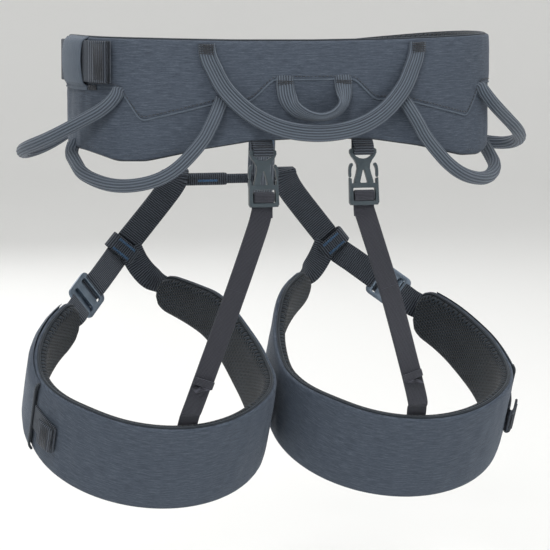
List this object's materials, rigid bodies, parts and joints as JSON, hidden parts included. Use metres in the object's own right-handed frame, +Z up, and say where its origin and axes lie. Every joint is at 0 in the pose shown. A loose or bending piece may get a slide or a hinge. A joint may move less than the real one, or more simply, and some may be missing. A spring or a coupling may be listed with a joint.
{
  "type": "climbing harness",
  "caption": "Sit harness with a padded waist belt, adjustable padded leg loops, gear loops, haul loop, belay loop and elastic rear risers with release buckles.",
  "frame": {"origin": "centre of the waist opening, at the height of the belt's middle", "axes": "+Z up, the wearer faces -Y, +X is the wearer's left"},
  "size_m": [0.3925, 0.2659, 0.3459],
  "materials": {
    "shell_fabric": "heathered woven polyester, grey-blue",
    "spacer_mesh": "dark slate knitted spacer mesh",
    "foam": "closed-cell foam core, dark grey",
    "webbing": "ribbed polyamide webbing, dark grey-blue",
    "tie_in_webbing": "wear-resistant tie-in webbing, dark grey-blue",
    "belay_webbing": "sewn sling webbing, slate grey",
    "gear_loop_webbing": "ribbed tubular webbing, grey-blue",
    "elastic": "woven elastic, purple-grey",
    "buckle_plastic": "moulded dark teal-grey plastic",
    "buckle_metal": "anodised grey-blue aluminium"
  },
  "bodies": {
    "belt": {"belt_upper_panel": "shell_fabric", "belt_lower_panel": "shell_fabric", "belt_foam_core": "foam", "belt_inner_mesh": "spacer_mesh", "waist_webbing_right": "webbing", "waist_webbing_left": "webbing", "waist_strap_tail": "webbing", "waist_keeper": "elastic", "waist_buckle_frame": "buckle_metal", "tie_in_upper": "tie_in_webbing", "tie_in_bridge": "tie_in_webbing", "tie_in_bridge_sleeve": "webbing", "riser_tab_left": "webbing", "riser_tab_right": "webbing", "riser_buckle_upper_left": "buckle_plastic", "riser_buckle_upper_right": "buckle_plastic"},
    "belay": {"belay_loop": "belay_webbing"},
    "waist_slider": {"waist_buckle_slider": "buckle_metal"},
    "rear_gear_loop": {"gear_loop_rear": "gear_loop_webbing"},
    "haul": {"haul_loop": "gear_loop_webbing"},
    "leg_left": {"leg_shell_left": "shell_fabric", "leg_foam_left": "foam", "leg_mesh_left": "spacer_mesh", "leg_strap_sleeve_left": "shell_fabric", "leg_strap_tail_left": "webbing", "leg_webbing_left": "webbing", "leg_webbing_inner_left": "webbing", "leg_keeper_left": "webbing", "leg_buckle_frame_left": "buckle_metal", "elastic_riser_left": "elastic"},
    "leg_slider_left": {"leg_buckle_slider_left": "buckle_metal"},
    "back_gear_loop_left": {"gear_loop_back_left": "gear_loop_webbing"},
    "front_gear_loop_left": {"gear_loop_front_left": "gear_loop_webbing"},
    "riser_pocket_left": {"riser_buckle_lower_left": "buckle_plastic"},
    "lever_outer_left": {"riser_lever_outer_left": "buckle_plastic"},
    "lever_inner_left": {"riser_lever_inner_left": "buckle_plastic"},
    "leg_right": {"leg_shell_right": "shell_fabric", "leg_foam_right": "foam", "leg_mesh_right": "spacer_mesh", "leg_strap_sleeve_right": "shell_fabric", "leg_strap_tail_right": "webbing", "leg_webbing_right": "webbing", "leg_webbing_inner_right": "webbing", "leg_keeper_right": "webbing", "leg_buckle_frame_right": "buckle_metal", "elastic_riser_right": "elastic"},
    "leg_slider_right": {"leg_buckle_slider_right": "buckle_metal"},
    "back_gear_loop_right": {"gear_loop_back_right": "gear_loop_webbing"},
    "front_gear_loop_right": {"gear_loop_front_right": "gear_loop_webbing"},
    "riser_pocket_right": {"riser_buckle_lower_right": "buckle_plastic"},
    "lever_outer_right": {"riser_lever_outer_right": "buckle_plastic"},
    "lever_inner_right": {"riser_lever_inner_right": "buckle_plastic"}
  },
  "joints": [
    {"name": "belay_loop_lift", "type": "slide", "parent": "belt", "child": "belay", "axis": [0, 0.1276, 0.9918], "range_m": [0, 0.0058]},
    {"name": "waist_buckle_slide", "type": "slide", "parent": "belt", "child": "waist_slider", "axis": [0.9539, 0.3002, 0], "range_m": [-0.003, 0.003]},
    {"name": "rear_gear_loop_swing", "type": "hinge", "parent": "belt", "child": "rear_gear_loop", "pos_m": [0, 0.0992, 0.036], "axis": [1, 0, 0], "range_deg": [-4, 25], "stiffness_Nm_per_rad": 0.05, "springref_deg": 0.58},
    {"name": "haul_loop_swing", "type": "hinge", "parent": "belt", "child": "haul", "pos_m": [0, 0.103, 0.009], "axis": [1, 0, 0], "range_deg": [-5, 25], "stiffness_Nm_per_rad": 0.02, "springref_deg": 0.17},
    {"name": "leg_left_swing", "type": "hinge", "parent": "belt", "child": "leg_left", "pos_m": [0.0425, -0.132, -0.077], "axis": [1, 0, 0], "range_deg": [-15, 15], "stiffness_Nm_per_rad": 1.5, "springref_deg": 4.88, "deforming": ["elastic_riser_left"]},
    {"name": "leg_buckle_slide_left", "type": "slide", "parent": "leg_left", "child": "leg_slider_left", "axis": [0.5721, 0.6607, -0.486], "range_m": [-0.003, 0.003]},
    {"name": "back_gear_loop_swing_left", "type": "hinge", "parent": "belt", "child": "back_gear_loop_left", "pos_m": [0.071, 0.104, -0.008], "axis": [0.7103, -0.6296, -0.3148], "range_deg": [-10, 25], "stiffness_Nm_per_rad": 0.05, "springref_deg": 0.62},
    {"name": "front_gear_loop_swing_left", "type": "hinge", "parent": "belt", "child": "front_gear_loop_left", "pos_m": [0.1395, 0.077, -0.001], "axis": [0.0485, -0.9699, -0.2387], "range_deg": [-12, 25], "stiffness_Nm_per_rad": 0.05, "springref_deg": 1.13},
    {"name": "riser_release_left", "type": "slide", "parent": "belt", "child": "riser_pocket_left", "axis": [0, 0.1045, -0.9945], "range_m": [0, 0.014]},
    {"name": "lever_outer_squeeze_left", "type": "hinge", "parent": "riser_pocket_left", "child": "lever_outer_left", "pos_m": [0.0466, 0.0999, -0.05493], "axis": [0, -0.9945, -0.1045], "range_deg": [0, 10], "stiffness_Nm_per_rad": 0.002},
    {"name": "lever_inner_squeeze_left", "type": "hinge", "parent": "riser_pocket_left", "child": "lever_inner_left", "pos_m": [0.0286, 0.0999, -0.05493], "axis": [0, 0.9945, 0.1045], "range_deg": [0, 10], "stiffness_Nm_per_rad": 0.002},
    {"name": "leg_right_swing", "type": "hinge", "parent": "belt", "child": "leg_right", "pos_m": [-0.0425, -0.132, -0.077], "axis": [1, 0, 0], "range_deg": [-15, 15], "stiffness_Nm_per_rad": 1.5, "springref_deg": 4.88, "deforming": ["elastic_riser_right"]},
    {"name": "leg_buckle_slide_right", "type": "slide", "parent": "leg_right", "child": "leg_slider_right", "axis": [-0.5721, 0.6607, -0.486], "range_m": [-0.003, 0.003]},
    {"name": "back_gear_loop_swing_right", "type": "hinge", "parent": "belt", "child": "back_gear_loop_right", "pos_m": [-0.071, 0.104, -0.008], "axis": [0.7103, 0.6296, 0.3148], "range_deg": [-10, 25], "stiffness_Nm_per_rad": 0.05, "springref_deg": 0.62},
    {"name": "front_gear_loop_swing_right", "type": "hinge", "parent": "belt", "child": "front_gear_loop_right", "pos_m": [-0.1395, 0.077, -0.001], "axis": [0.0485, 0.9699, 0.2387], "range_deg": [-12, 25], "stiffness_Nm_per_rad": 0.05, "springref_deg": 1.13},
    {"name": "riser_release_right", "type": "slide", "parent": "belt", "child": "riser_pocket_right", "axis": [0, 0.1045, -0.9945], "range_m": [0, 0.014]},
    {"name": "lever_outer_squeeze_right", "type": "hinge", "parent": "riser_pocket_right", "child": "lever_outer_right", "pos_m": [-0.0466, 0.0999, -0.05493], "axis": [0, 0.9945, 0.1045], "range_deg": [0, 10], "stiffness_Nm_per_rad": 0.002},
    {"name": "lever_inner_squeeze_right", "type": "hinge", "parent": "riser_pocket_right", "child": "lever_inner_right", "pos_m": [-0.0286, 0.0999, -0.05493], "axis": [0, -0.9945, -0.1045], "range_deg": [0, 10], "stiffness_Nm_per_rad": 0.002}
  ],
  "couplings": [
    {"joint": "lever_inner_squeeze_left", "follows": "lever_outer_squeeze_left", "ratio": 1},
    {"joint": "lever_inner_squeeze_right", "follows": "lever_outer_squeeze_right", "ratio": 1}
  ]
}
